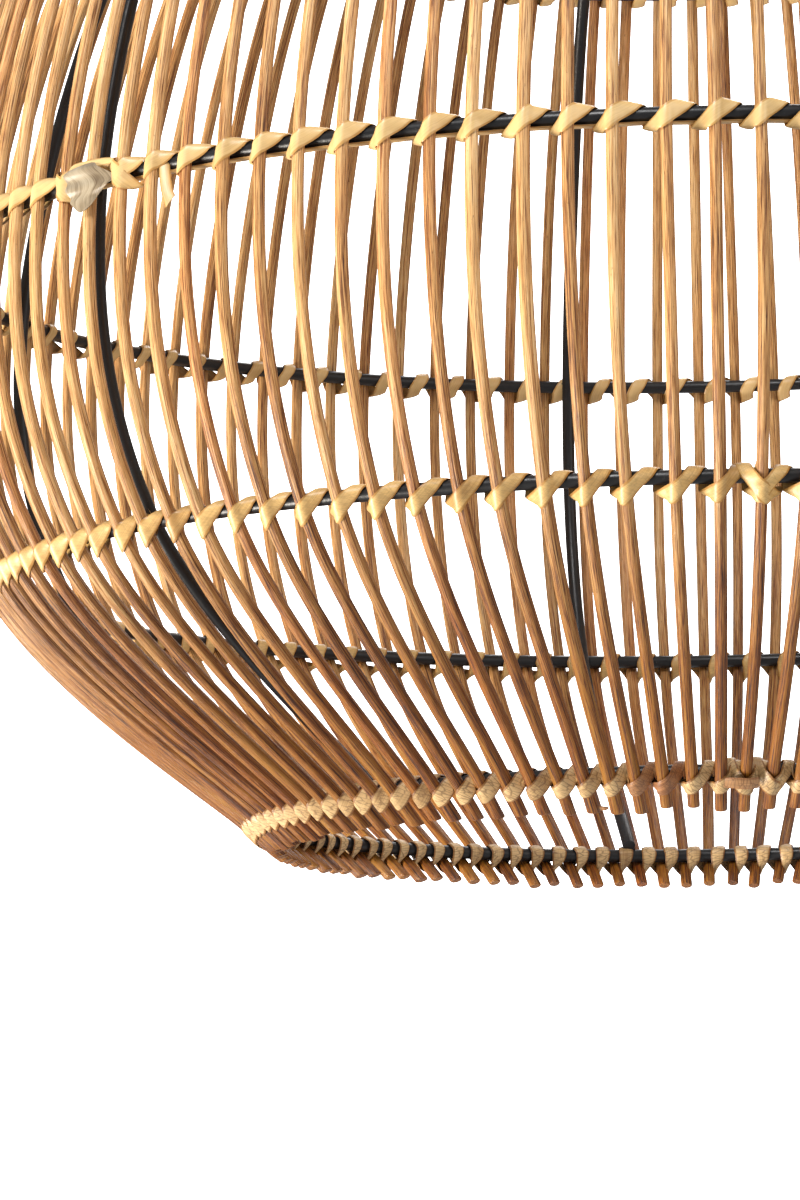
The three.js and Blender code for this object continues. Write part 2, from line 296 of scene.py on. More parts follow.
caneSettings = {
    "radius": (1.92, 2.14),  # mm
    "sides": 24,
    "stepsPerSpan": 24,
    "angleDrift": 0.12,  # degrees off an even spacing at each hoop
    "bow": 0.35,  # sideways wander between two hoops, mm
    "below": 12.2,  # how far a rod stands past the bottom hoop, mm
    "uneven": 0.8,
    "above": (6.0, 8.0),
    "ridge": 0.034,  # height of the lengthwise ridges, as a share of the radius
    "swell": 0.012,
    "oval": 0.03,
    "chamfer": 0.25,
    "redRods": 0.13,  # share of the rods that are reddish
    "dark": (0.085, 0.026, 0.007),
    "brown": (0.300, 0.115, 0.029),
    "middle": (0.595, 0.308, 0.104),
    "tan": (0.730, 0.440, 0.180),
    "pale": (0.820, 0.590, 0.310),
    "lowPaintedShade": (0.43, 0.270, 0.072),  # painted shade: the rods darken and grow more saturated under the belly hoop, where they face down away from the light
}


def caneMaterial():
    s = caneSettings
    material, tree, shader = newMaterial("brownCane", 0.42)
    grain = attribute(tree, "grain", "Vector")
    tone = attribute(tree, "tone")
    low = attribute(tree, "low")
    streaks = stretchedNoise(tree, grain, (1900, 1900, 26), 4.0, 0.62)
    fibres = stretchedNoise(tree, grain, (5200, 5200, 90), 3.0, 0.6)
    patches = stretchedNoise(tree, grain, (110, 110, 18), 3.0)
    limits = {"Value": low, "To Min": 1.75, "To Max": 2.4}
    contrast = addNode(tree, "ShaderNodeMapRange", limits).outputs[0]
    swings = [(streaks, 0.5, contrast), (fibres, 0.5, contrast), (patches, 0.5, 0.7), (tone, 0.0, 0.10)]
    value = blendValues(tree, 0.54, swings)
    shades = [s[key] for key in ("dark", "brown", "middle", "tan", "pale")]
    colour = ramp(tree, value, list(zip((0.0, 0.25, 0.5, 0.75, 1.0), shades)))
    redCloud = stretchedNoise(tree, grain, (70, 70, 10), 2.0)
    redPatch = ramp(tree, redCloud, [(0.50, grey(0.0)), (0.72, grey(0.22))])
    redness = calc(tree, "ADD", redPatch, calc(tree, "MULTIPLY", attribute(tree, "redness"), 0.5), True)
    redder = mixColour(tree, 1.0, colour, (1.08, 0.78, 0.68), "MULTIPLY")
    colour = mixColour(tree, redness, colour, redder)
    grooves = ramp(tree, fibres, [(0.37, (0.34, 0.22, 0.15)), (0.46, grey(1.0))])
    grooved = mixColour(tree, 1.0, colour, grooves, "MULTIPLY")
    limits = {"Value": low, "To Min": 0.7, "To Max": 1.0}
    grooveShare = addNode(tree, "ShaderNodeMapRange", limits).outputs[0]
    colour = mixColour(tree, grooveShare, colour, grooved)
    spots = stretchedNoise(tree, grain, (1900, 1900, 500), 2.0)
    specks = ramp(tree, spots, [(0.68, grey(1.0)), (0.76, (0.45, 0.36, 0.30))])
    colour = mixColour(tree, 1.0, colour, specks, "MULTIPLY")
    # painted shade: the rods' colour turns darker and more saturated towards the bottom, below the belly
    # hoop
    shade = mixColour(tree, low, grey(1.0), s["lowPaintedShade"])
    colour = mixColour(tree, 1.0, colour, shade, "MULTIPLY")
    tree.links.new(colour, shader.inputs["Base Color"])
    values = {"Value": streaks, "From Min": 0.35, "From Max": 0.65, "To Min": 0.56, "To Max": 0.30}
    rough = addNode(tree, "ShaderNodeMapRange", values)
    tree.links.new(rough.outputs[0], shader.inputs["Roughness"])
    height = calc(tree, "ADD", streaks, calc(tree, "MULTIPLY", fibres, 0.5))
    bump(tree, shader, height, 0.42 * mm, 0.8)
    return material


def caneAngles():
    # the angle of every rod at every hoop, from the front
    draw = random.Random(41)
    pitch = 2 * pi / rodCount
    even = radians(shadeSettings["firstRib"]) + (np.arange(rodCount) + 0.5) * pitch
    angles = []
    drift = np.array([draw.gauss(0, 1) for _ in even])
    for _ in hoopNames:
        step = np.array([draw.gauss(0, 1) for _ in even])
        drift = 0.6 * drift + 0.75 * step
        angles.append(even + radians(caneSettings["angleDrift"]) * np.clip(drift, -1.8, 1.8))
    return np.array(angles)


rodAngles = caneAngles()


def canePath(index, draw, radius):
    s = caneSettings
    spanCount = len(hoopNames) - 1
    spans = np.linspace(0, spanCount, spanCount * s["stepsPerSpan"] + 1)
    points, _, normal = profileFrame(spans)
    out = (shadeSettings["wire"] * mm + radius) * np.ones(len(spans))
    sideways = np.zeros(len(spans))
    for span in range(spanCount):
        hump = np.sin(pi * np.clip(spans - span, 0, 1)) ** 2
        sideways += draw.uniform(-1, 1) * s["bow"] * mm * hump
        out += draw.uniform(-0.3, 0.8) * 0.3 * mm * hump
    flat = points + normal * out[:, None]
    angle = np.interp(spans, range(spanCount + 1), rodAngles[:, index])
    angle = np.convolve(np.pad(angle, 5, mode="edge"), np.ones(11) / 11, "valid")
    angle = angle + sideways / flat[:, 0]
    below = np.array([-s["below"], 4.5 - s["below"], -2.0])[:, None] * mm
    above = np.linspace(2.0, draw.uniform(*s["above"]), 4)[:, None] * mm
    lowSlope = unit(flat[1] - flat[0])
    highSlope = unit(flat[-1] - flat[-2])
    flat = np.concatenate([flat[:1] + lowSlope * below, flat, flat[-1:] + highSlope * above])
    angle = np.concatenate([[angle[0]] * len(below), angle, [angle[-1]] * len(above)])
    lowNormals = normal[:1].repeat(len(below), 0)
    highNormals = normal[-1:].repeat(len(above), 0)
    outward = np.concatenate([lowNormals, normal, highNormals])
    return onShade(flat, angle), onShade(outward, angle)


def addCane(bag, index):
    s = caneSettings
    draw = random.Random(700 + index)
    radius = draw.uniform(*s["radius"]) * mm
    centre, normal = canePath(index, draw, radius)
    # a short step in at each end makes the cut's chamfer
    inset = s["chamfer"] * mm
    stepUp = centre[:1] + unit(centre[1:2] - centre[:1]) * inset
    stepDown = centre[-1:] + unit(centre[-2:-1] - centre[-1:]) * inset
    centre = np.concatenate([centre[:1], stepUp, centre[1:-1], stepDown, centre[-1:]])
    normal = np.concatenate([normal[:1], normal, normal[-1:]])
    turn = np.arange(s["sides"]) * 2 * pi / s["sides"]
    ridges = np.array([draw.gauss(0, 1) for _ in turn])
    ridges = (ridges + 0.5 * np.roll(ridges, 1)) * s["ridge"] * 0.6
    oval = s["oval"] * np.cos(2 * (turn + draw.uniform(0, pi)))
    place = np.linspace(0, 1, len(centre))
    phase = draw.uniform(0, 6)
    swell = s["swell"] * np.sin(place * 17 + phase) * np.sin(place * 7.3 + phase)
    size = radius * (1 + ridges[None, :] + oval[None, :] + swell[:, None])
    size[[0, -1]] *= 1 - inset / radius
    section = np.stack([size * np.cos(turn), size * np.sin(turn)], -1)
    tone = draw.gauss(0, 0.8) + 0.5 * np.sin(place * 5 + phase)
    redness = draw.uniform(0.5, 1.0) if draw.random() < s["redRods"] else 0.0
    bellyDepth = (hoopPlaces[1][1] - centre[:, 2]) / (hoopPlaces[1][1] - hoopPlaces[0][1])
    # low rises below the belly hoop; it sets the rods' painted shade there and their stronger streaks
    # and grooves
    low = np.clip(bellyDepth * 0.8 + 0.45, 0, 1)
    looks = {"tone": tone[:, None], "redness": redness, "low": low[:, None]}
    level = centre[0, 2] + draw.uniform(-1, 1) * s["uneven"] * mm
    addSweep(bag, centre, normal, section, index * 0.037, level=level, **looks)


def makeCanes(material):
    perPanel = shadeSettings["rodsPerPanel"]
    for panel, panelName in enumerate(panelNames):
        bag = newBag()
        for k in range(perPanel):
            addCane(bag, panel * perPanel + k)
        bagToPiece(bag, "canes" + panelName[-2:], material, "shade", [panelName])


lacquerSettings = {
    "colour": (0.0075, 0.0075, 0.0085),
    "dust": (0.16, 0.15, 0.13),
    "sides": 20,
    "hoopSteps": 288,
    "beadLength": 1.5,  # weld beads, mm
    "beadRadius": 1.1,
}


def lacquerMaterial():
    s = lacquerSettings
    material, tree, shader = newMaterial("blackLacquer", 0.3)
    place = addNode(tree, "ShaderNodeTexCoord").outputs["Object"]
    fine = stretchedNoise(tree, place, (900, 900, 900), 3.0)
    broad = stretchedNoise(tree, place, (120, 120, 120), 3.0)
    specks = stretchedNoise(tree, place, (1500, 1500, 1500), 1.0)
    dust = ramp(tree, specks, [(0.71, grey(0.0)), (0.79, grey(1.0))])
    lighter = tuple(c * 2.6 for c in s["colour"])
    colour = mixColour(tree, calc(tree, "MULTIPLY", broad, 0.45), s["colour"], lighter)
    colour = mixColour(tree, calc(tree, "MULTIPLY", dust, 0.25), colour, s["dust"])
    tree.links.new(colour, shader.inputs["Base Color"])
    rough = addNode(tree, "ShaderNodeMapRange", {"Value": broad, "To Min": 0.22, "To Max": 0.46})
    tree.links.new(rough.outputs[0], shader.inputs["Roughness"])
    shader.inputs["Specular IOR Level"].default_value = 0.4
    bump(tree, shader, calc(tree, "ADD", fine, broad), 0.12 * mm, 0.5)
    return material


def makeHoop(name, place, material):
    steps = lacquerSettings["hoopSteps"]
    turn = np.arange(steps) * 2 * pi / steps
    centre = onShade(np.tile(place, (steps, 1)), turn)
    normal = onShade(np.tile([1.0, 0.0], (steps, 1)), turn)
    section = circleSection(shadeSettings["wire"] * mm, lacquerSettings["sides"], steps)
    bag = newBag()
    addSweep(bag, centre, normal, section, loop=True)
    bagToPiece(bag, name + "Hoop", material, "shade", [name + "_hoop"])


def weldBead(bag, centre, out, along):
    # a drop of weld metal that bridges two wires
    steps = 7
    place = np.linspace(-1, 1, steps)
    path = centre + np.outer(place * lacquerSettings["beadLength"] * mm, along)
    size = lacquerSettings["beadRadius"] * mm * np.sqrt(np.clip(1.02 - place**2, 0, 1))
    section = circleSection(1.0, 12, steps) * size[:, None, None]
    addSweep(bag, path, np.tile(out, (steps, 1)), section)


def ribAngle(number):
    return radians(shadeSettings["firstRib"] + number * 360 / len(ribNames))


def makeRib(number, material):
    wire = shadeSettings["wire"] * mm
    spanCount = len(hoopNames) - 1
    stepsPerSpan = 30
    spans = np.linspace(0, spanCount, spanCount * stepsPerSpan + 1)
    points, tangent, normal = profileFrame(spans)
    flat = points - normal * (2 * wire + 0.05 * mm)
    angle = ribAngle(number)
    angles = np.full(len(spans), angle)
    bag = newBag()
    section = circleSection(wire, lacquerSettings["sides"], len(spans))
    addSweep(bag, onShade(flat, angles), onShade(normal, angles), section)
    side = np.array([cos(angle), sin(angle), 0])
    for span in range(spanCount + 1):
        at = span * stepsPerSpan
        out = onShade(normal[at], angle)
        up = onShade(tangent[at], angle)
        joint = onShade(points[at] - normal[at] * wire, angle)
        for hand in (-1, 1):
            weldBead(bag, joint + side * hand * 1.3 * mm + up * 0.9 * mm, out, side)
    bagToPiece(bag, f"rib{number + 1}", material, "shade", [ribNames[number]])


stripSettings = {
    "thickness": 0.55,
    "bulge": 0.22,  # how far the strip's middle stands over its edges, mm
    "rowsPerPoint": 4,
    "wander": 0.22,  # how unevenly the turns lie, mm
}

# one turn of strip over a rod, mm: its upper and its lower edge, each as place along the hoop
# from the rod, height over the wire's centre, and distance out from it
wideTurn = [
    ((-6.9, -3.3, -1.2), (-2.1, -3.7, -0.8)),
    ((-6.8, -4.5, 0.4), (-2.0, -6.0, 2.0)),
    ((-5.3, -3.2, 2.2), (-0.6, -6.1, 5.6)),
    ((-3.4, -1.5, 3.8), (1.0, -4.9, 6.3)),
    ((-1.4, 0.5, 5.9), (2.8, -2.9, 4.9)),
    ((0.6, 2.0, 6.4), (4.6, -1.2, 3.4)),
    ((2.4, 3.3, 4.4), (6.4, 0.4, 2.7)),
    ((3.4, 3.6, 2.2), (7.7, 1.8, 2.3)),
    ((3.9, 3.3, -0.2), (8.7, 2.8, 0.4)),
    ((4.4, 1.9, -2.1), (9.6, 2.1, -2.0)),
    ((5.4, 0.0, -2.8), (10.9, 0.2, -2.8)),
    ((6.6, -1.9, -2.2), (11.9, -2.0, -2.0)),
]
narrowTurn = [
    ((-5.7, -1.8, -2.4), (-0.5, -2.0, -2.3)),
    ((-5.1, -3.0, 0.2), (-0.8, -3.8, 1.6)),
    ((-3.8, -1.9, 2.6), (-0.9, -4.0, 5.6)),
    ((-2.0, 0.6, 5.2), (1.2, -3.6, 6.4)),
    ((0.0, 2.6, 6.6), (3.2, -2.4, 5.0)),
    ((1.6, 3.8, 5.2), (4.8, -0.8, 3.6)),
    ((2.6, 4.2, 2.8), (6.0, 0.8, 2.6)),
    ((3.2, 3.8, 0.4), (6.8, 2.4, 1.0)),
    ((3.1, 2.6, -1.9), (7.5, 2.4, -1.5)),
    ((2.9, 0.2, -2.8), (8.0, 0.2, -2.8)),
]

# the turn on each hoop, with the gap between rods that it is drawn for, mm
hoopTurns = {
    "bottom": (narrowTurn, 8.4), "belly": (wideTurn, 14.0), "upper": (wideTurn, 14.0),
    "shoulder": (wideTurn, 14.0), "top": (narrowTurn, 8.4),
}

acrossShares = [1.0, 0.88, 0.55, 0.2, -0.2, -0.55, -0.88, -1.0]  # stations from edge to edge
acrossRise = [0.0, 0.62, 0.95, 1.0, 1.0, 0.95, 0.62, 0.0]  # share of the half thickness there

peelLooks = {
    "upper": {
        "colour": (0.690, 0.465, 0.195), "deep": (0.520, 0.315, 0.115),
        "roughness": 0.36, "rim": (0.74, 0.60, 0.42), "cracks": 0.0,
    },
    "belly": {
        "colour": (0.660, 0.430, 0.160), "deep": (0.430, 0.240, 0.075),
        "roughness": 0.42, "rim": (0.70, 0.55, 0.36), "cracks": 0.3,
    },
    "bottom": {
        "colour": (0.600, 0.400, 0.185), "deep": (0.300, 0.165, 0.060),
        "roughness": 0.46, "rim": (0.46, 0.30, 0.15), "cracks": 1.0,
    },
}
peelOnHoop = {
    "bottom": "bottom", "belly": "belly", "upper": "upper", "shoulder": "upper", "top": "belly",
}


def peelMaterial(key):
    s = peelLooks[key]
    material, tree, shader = newMaterial(key + "Peel", s["roughness"])
    grain = attribute(tree, "grain", "Vector")
    tone = attribute(tree, "tone")
    fibres = stretchedNoise(tree, grain, (3000, 3000, 60), 4.0, 0.6)
    patches = stretchedNoise(tree, grain, (170, 170, 70), 3.0)
    value = blendValues(tree, 0.5, [(fibres, 0.5, 0.9), (patches, 0.5, 0.9), (tone, 0.0, 0.14)])
    pale = tuple(min(1.0, c * 1.14 + 0.03) for c in s["colour"])
    colour = ramp(tree, value, [(0.15, s["deep"]), (0.5, s["colour"]), (0.9, pale)])
    worn = calc(tree, "ADD", attribute(tree, "rim"), calc(tree, "MULTIPLY", patches, 0.3))
    darkRim = ramp(tree, worn, [(0.90, grey(1.0)), (1.0, s["rim"])])
    colour = mixColour(tree, 1.0, colour, darkRim, "MULTIPLY")
    stops = [(0.3, (0.10, 0.035, 0.012)), (0.5, (0.30, 0.115, 0.038)), (0.7, (0.52, 0.25, 0.10))]
    bark = ramp(tree, fibres, stops)
    colour = mixColour(tree, attribute(tree, "brown"), colour, bark)
    blots = calc(tree, "ADD", calc(tree, "MULTIPLY", patches, 0.5), calc(tree, "MULTIPLY", fibres, 0.5))
    stops = [(0.38, (0.10, 0.065, 0.035)), (0.47, (0.26, 0.20, 0.125)), (0.56, (0.40, 0.33, 0.23))]
    paper = ramp(tree, blots, stops)
    colour = mixColour(tree, attribute(tree, "paper"), colour, paper)
    height = calc(tree, "MULTIPLY", fibres, 0.6)
    if s["cracks"]:
        cells = addNode(tree, "ShaderNodeMapping", {"Vector": grain, "Scale": (210, 210, 900)})
        values = {"Vector": cells.outputs[0], "Scale": 1.0}
        edges = addNode(tree, "ShaderNodeTexVoronoi", values, feature="DISTANCE_TO_EDGE").outputs[0]
        lines = ramp(tree, edges, [(0.0, grey(0.0)), (0.10, grey(1.0))])
        spread = ramp(tree, patches, [(0.24, grey(0.0)), (0.42, grey(1.0))])
        dark = mixColour(tree, 0.85, colour, (0.12, 0.05, 0.018))
        cracked = mixColour(tree, lines, dark, colour)
        colour = mixColour(tree, calc(tree, "MULTIPLY", spread, 0.85 * s["cracks"]), colour, cracked)
        height = calc(tree, "ADD", height, calc(tree, "MULTIPLY", lines, 0.35 * s["cracks"]))
    tree.links.new(colour, shader.inputs["Base Color"])
    shader.inputs["Coat Weight"].default_value = 0.12
    shader.inputs["Coat Roughness"].default_value = 0.3
    bump(tree, shader, height, 0.14 * mm, 0.7)
    return material


def rodPlaces(hoop, first, last):
    # places along the hoop of rods first to last, counted on past a full turn
    index = np.arange(first, last)
    radius = hoopPlaces[hoop][0]
    return (rodAngles[hoop][index % rodCount] + (index // rodCount) * 2 * pi) * radius


def nearestRod(hoop, degrees):
    away = (rodAngles[hoop] - radians(degrees) + pi) % (2 * pi) - pi
    return int(np.argmin(np.abs(away)))


def stripRows(hoop, first, last, draw, hand=1, lift=0.0, brown=None):
    # rows of both edges and their tone, brownness and paperiness, for the turns over rods first to last
    places = rodPlaces(hoop, first - 1, last + 1)
    course, pitch = hoopTurns[hoopNames[hoop]]
    turn = np.array(course)
    if hand < 0:
        turn = turn[::-1] * (-1, 1, 1)
    middle = turn.mean(1)
    half = (turn[:, 0] - turn[:, 1]) / 2
    rows = []
    for k in range(first, last):
        before, here, after = places[k - first:k - first + 3]
        gap = np.where(middle[:, 0] > 0, after - here, here - before)
        squeeze = gap / (pitch * mm)
        width = draw.uniform(0.93, 1.05)
        shift = draw.gauss(0, 1) * stripSettings["wander"]
        tone = draw.gauss(0, 0.6)
        for spot, reach, share in zip(middle, half, squeeze):
            centre = spot * (share, 1, 1)
            spread = reach * ((0.75 + 0.25 * share) * width, 1, 1)
            pair = np.array([centre + spread, centre - spread])
            pair[:, 0] += shift
            pair[:, 1:] += unit(pair[:, 1:]) * lift
            pair *= mm
            pair[:, 0] += here
            rows.append([*pair[0], *pair[1], tone, (brown or {}).get(k, 0.0), 0.0])
    return np.array(rows)


def drapeOverRods(hoop, points):
    # lifts a strip's middle surface clear of the rods that it crosses
    near = points[..., 0] / hoopPlaces[hoop][0] % (2 * pi)
    rods = np.sort(rodAngles[hoop] % (2 * pi))
    rods = np.concatenate([rods[-1:] - 2 * pi, rods, rods[:1] + 2 * pi])
    after = np.searchsorted(rods, near)
    away = np.minimum(np.abs(near - rods[after - 1]), np.abs(rods[after] - near)) * hoopPlaces[hoop][0]
    clear = (caneSettings["radius"][1] + stripSettings["thickness"] / 2) * mm
    stand = (shadeSettings["wire"] + shadeSettings["rod"]) * mm
    rise = stand + np.sqrt(np.clip(clear**2 - away**2, 0, None))
    over = (away < clear) & (points[..., 2] > 1.6 * mm)
    points[..., 2] = np.where(over, np.maximum(points[..., 2], rise), points[..., 2])


def fromHoop(hoop, local):
    # (along the hoop, up, out) from a hoop's wire centre to its place on the shade
    points, tangent, normal = profileFrame(np.array([float(hoop)]))
    flat = points[0] + normal[0] * local[..., 2:3] + tangent[0] * local[..., 1:2]
    return onShade(flat, local[..., 0] / hoopPlaces[hoop][0])


def layStrip(bag, hoop, rows, seed, loop=False, drape=True, steps=None, thickness=None):
    # a strip between two edges, with thin rims, added to the bag
    steps = steps or stripSettings["rowsPerPoint"]
    if loop:
        girth = 2 * pi * hoopPlaces[hoop][0]
        rows = smoothRows(rows, steps, np.array([girth, 0, 0, girth, 0, 0, 0, 0, 0]))
    else:
        rows = smoothRows(rows, steps)
    upper, lower = rows[:, None, 0:3], rows[:, None, 3:6]
    share = np.array(acrossShares)[None, :, None]
    points = (upper + lower) / 2 + share * (upper - lower) / 2
    ahead = np.gradient(points, axis=0)
    if loop:
        ends = points[1] - points[-1] + (girth, 0, 0)
        ahead[0] = ends / 2
        ahead[-1] = (points[0] + (girth, 0, 0) - points[-2]) / 2
    normal = unit(np.cross(ahead, upper - lower))
    points = points + normal * (1 - share**2) * stripSettings["bulge"] * mm
    if drape:
        drapeOverRods(hoop, points)
    half = (thickness or stripSettings["thickness"]) / 2 * mm
    rise = np.array(acrossRise)[None, :, None] * half
    outer = (points + normal * rise)[:, ::-1]
    inner = (points - normal * rise)[:, 1:-1]
    rings = fromHoop(hoop, np.concatenate([outer, inner], 1))
    stations = np.concatenate([acrossShares[::-1], acrossShares[1:-1]])
    width = np.linalg.norm((upper - lower)[:, 0], axis=1)[:, None]
    length = np.concatenate([[0], np.cumsum(np.linalg.norm(np.diff(points[:, 4], axis=0), axis=1))])
    shift = 0.5 + seed * 0.31
    grain = np.empty(rings.shape)
    grain[..., 0] = stations[None, :] * width / 2 + shift
    grain[..., 1] = shift * 0.7
    grain[..., 2] = length[:, None] + shift * 3
    # painted shade: the strip's inner face takes a darker tone
    inside = np.array([0.0] * len(acrossShares) + [-0.9] * (len(acrossShares) - 2))[None, :]
    looks = {"tone": rows[:, 6:7] + inside, "rim": np.abs(stations)[None, :]}
    looks.update(brown=rows[:, 7:8], paper=rows[:, 8:9])
    addRings(bag, rings, grain, loop, **looks)


# turns that cross the winding the other way where one length of strip ends and the next begins:
# degrees from the front, and how far they stand off the turns below, mm
crossedTurns = {
    "upper": [(-49.8, 0.8), (-43.5, 0.9)],
    "belly": [(3.9, 0.7)],
    "bottom": [(4.6, 0.7), (7.6, 0.9)],
}

# brown, coarse turns: degrees from the front and how brown
barkTurns = {"bottom": [(-7.5, 0.85), (-4.7, 0.95), (17.0, 0.6), (160.0, 0.7)]}

# loose ends of strip: degrees from the front, tone, brownness, paperiness, then both edges
# as in the turn above
looseEnds = {
    "upper": [
        (-46.4, 0.0, 0.0, 1.0, [
            ((2.6, 3.4, 6.4), (-7.4, 1.2, 9.0)), ((5.0, 1.6, 7.2), (-8.6, -0.4, 9.8)),
            ((9.6, -0.8, 6.0), (-7.8, -2.8, 8.6)), ((12.6, -3.0, 5.2), (-6.9, -5.6, 9.7)),
            ((9.9, -4.6, 6.4), (-5.6, -7.9, 8.4)), ((5.8, -7.4, 6.2), (-4.9, -9.6, 8.9)),
            ((3.8, -10.6, 7.2), (-2.6, -12.2, 8.0)), ((1.2, -12.4, 7.4), (-0.8, -13.0, 7.7)),
        ]),
        (-39.6, 0.3, 0.0, 0.0, [
            ((1.7, -0.5, 1.8), (-1.0, -0.4, 4.0)), ((2.9, -5.0, 2.2), (0.1, -5.4, 4.4)),
            ((4.5, -9.6, 2.6), (1.6, -10.4, 4.8)), ((6.0, -11.8, 2.8), (3.9, -16.2, 4.6)),
        ]),
        (-46.8, 0.5, 0.0, 0.0, [
            ((-14.0, 3.4, 2.4), (-14.0, 1.2, 3.2)), ((-7.0, 4.0, 6.4), (-7.0, 0.8, 7.0)),
            ((0.0, 4.3, 6.6), (0.0, 1.0, 7.2)), ((8.0, 4.4, 5.4), (8.0, 1.6, 6.0)),
            ((15.0, 3.8, 3.4), (15.0, 3.2, 3.4)),
        ]),
    ],
    "belly": [
        (3.6, -0.2, 0.2, 0.2, [
            ((1.6, 2.6, 3.2), (-1.4, 2.6, 3.2)), ((1.9, 4.6, 4.0), (-1.0, 4.9, 3.9)),
            ((1.7, 6.2, 4.4), (-0.2, 7.4, 4.3)),
        ]),
    ],
    "bottom": [
        (3.3, 0.0, 0.75, 0.0, [
            ((-5.0, 3.2, 6.9), (-5.3, -0.9, 6.9)), ((-2.0, 3.9, 7.7), (-2.0, -0.5, 7.9)),
            ((2.0, 3.6, 7.7), (2.0, -0.9, 7.9)), ((5.1, 3.2, 6.8), (5.3, -1.3, 6.8)),
        ]),
        (-13.8, 0.0, 0.8, 0.0, [
            ((-1.4, -9.2, 4.2), (-1.6, -11.0, 4.2)), ((1.0, -9.6, 4.4), (0.8, -11.4, 4.4)),
            ((2.6, -10.0, 4.3), (2.4, -11.0, 4.3)),
        ]),
    ],
}


def addLooseEnd(bag, hoop, number, degrees, tone, brown, paper, edges):
    here = radians(degrees) * hoopPlaces[hoop][0]
    rows = [[*np.multiply(a, mm), *np.multiply(b, mm), tone, brown, paper] for a, b in edges]
    rows = np.array(rows)
    rows[:, [0, 3]] += here
    if np.cross(rows[1, :3] - rows[0, :3], rows[0, :3] - rows[0, 3:6])[2] < 0:
        rows[:, :6] = rows[:, [3, 4, 5, 0, 1, 2]]
    layStrip(bag, hoop, rows, 40 + number, False, False, 6, 0.3)


def addRunner(bag, hoop):
    # a flat strip laid along under the wire, inside the turns, on from the crossed turns
    steps = 120
    place = np.radians(np.linspace(-50, 76, steps)) * hoopPlaces[hoop][0]
    wave = 0.15 * mm * np.sin(np.arange(steps) * 0.9)
    rows = np.zeros((steps, 9))
    rows[:, 0] = rows[:, 3] = place
    rows[:, 1] = -2.75 * mm + wave * 0.4
    rows[:, 2] = 1.5 * mm + wave
    rows[:, 4] = -2.85 * mm + wave * 0.4
    rows[:, 5] = -1.9 * mm + wave
    rows[:, 6] = -0.9
    layStrip(bag, hoop, rows, 70 + hoop, False, False, 1)


def addHairs(bag, hoop, count):
    # fine fibres that stand off the strip
    draw = random.Random(300 + hoop)
    for _ in range(count):
        place = radians(draw.uniform(-70, 70)) * hoopPlaces[hoop][0]
        start = np.array([place, draw.choice((-4.5, 3.6)) * mm, 3.2 * mm])
        lean = np.array([draw.uniform(-0.6, 0.6), 1 if start[1] > 0 else -1, draw.uniform(0.1, 0.5)])
        curl = np.array([draw.uniform(-1, 1), 0, draw.uniform(-0.2, 0.6)]) * 0.05
        along = np.linspace(0, draw.uniform(2.5, 7.0), 8)[:, None]
        path = fromHoop(hoop, start + (unit(lean) * along + curl * along**2) * mm)
        section = circleSection(0.07 * mm, 5, 8) * np.linspace(1, 0.4, 8)[:, None, None]
        looks = {"tone": 0.4, "rim": 0.0, "brown": 0.35, "paper": 0.0}
        addSweep(bag, path, np.tile([0.3, -0.5, 0.8], (8, 1)), section, **looks)


def makeBinding(hoop, material):
    name = hoopNames[hoop]
    draw = random.Random(90 + hoop)
    bag = newBag()
    brown = {nearestRod(hoop, degrees): share for degrees, share in barkTurns.get(name, [])}
    layStrip(bag, hoop, stripRows(hoop, 0, rodCount, draw, brown=brown), hoop, loop=True)
    for number, (degrees, lift) in enumerate(crossedTurns.get(name, [])):
        rod = nearestRod(hoop, degrees)
        rows = stripRows(hoop, rod, rod + 1, draw, -1, lift)
        layStrip(bag, hoop, rows, 20 + number + hoop * 5)
    for number, end in enumerate(looseEnds.get(name, [])):
        addLooseEnd(bag, hoop, number, *end)
    if name == "upper":
        addRunner(bag, hoop)
    addHairs(bag, hoop, {"belly": 26, "bottom": 12, "upper": 5}.get(name, 0))
    bagToPiece(bag, name + "Binding", material, "shade", [name + "_binding"], 60)


fittingLooks = {
    "blackPlastic": {
        "colour": (0.012, 0.012, 0.013), "other": (0.022, 0.022, 0.024),
        "rough": (0.34, 0.52), "metal": 0.0,
    },
    "ceramic": {
        "colour": (0.78, 0.76, 0.70), "other": (0.66, 0.63, 0.56),
        "rough": (0.16, 0.32), "metal": 0.0,
    },
    "brass": {
        "colour": (0.74, 0.52, 0.22), "other": (0.50, 0.32, 0.12),
        "rough": (0.24, 0.46), "metal": 1.0,
    },
    "nickel": {
        "colour": (0.64, 0.62, 0.58), "other": (0.48, 0.46, 0.43),
        "rough": (0.20, 0.40), "metal": 1.0,
    },
    "opalGlass": {
        "colour": (0.90, 0.89, 0.86), "other": (0.84, 0.83, 0.79),
        "rough": (0.10, 0.20), "metal": 0.0,
    },
}


def fittingMaterial(name):
    s = fittingLooks[name]
    material, tree, shader = newMaterial(name, sum(s["rough"]) / 2, s["metal"])
    place = addNode(tree, "ShaderNodeTexCoord").outputs["Object"]
    fine = stretchedNoise(tree, place, (2600, 2600, 2600), 2.0)
    broad = stretchedNoise(tree, place, (160, 160, 90), 4.0)
    share = ramp(tree, broad, [(0.35, grey(0.0)), (0.7, grey(1.0))])
    colour = mixColour(tree, share, s["colour"], s["other"])
    tree.links.new(colour, shader.inputs["Base Color"])
    smooth, dull = s["rough"]
    values = {"Value": broad, "From Min": 0.3, "From Max": 0.7, "To Min": smooth, "To Max": dull}
    rough = addNode(tree, "ShaderNodeMapRange", values)
    tree.links.new(rough.outputs[0], shader.inputs["Roughness"])
    if name == "opalGlass":
        shader.inputs["Coat Weight"].default_value = 0.6
        shader.inputs["Coat Roughness"].default_value = 0.05
    bump(tree, shader, fine, 0.03 * mm, 0.5)
    return material


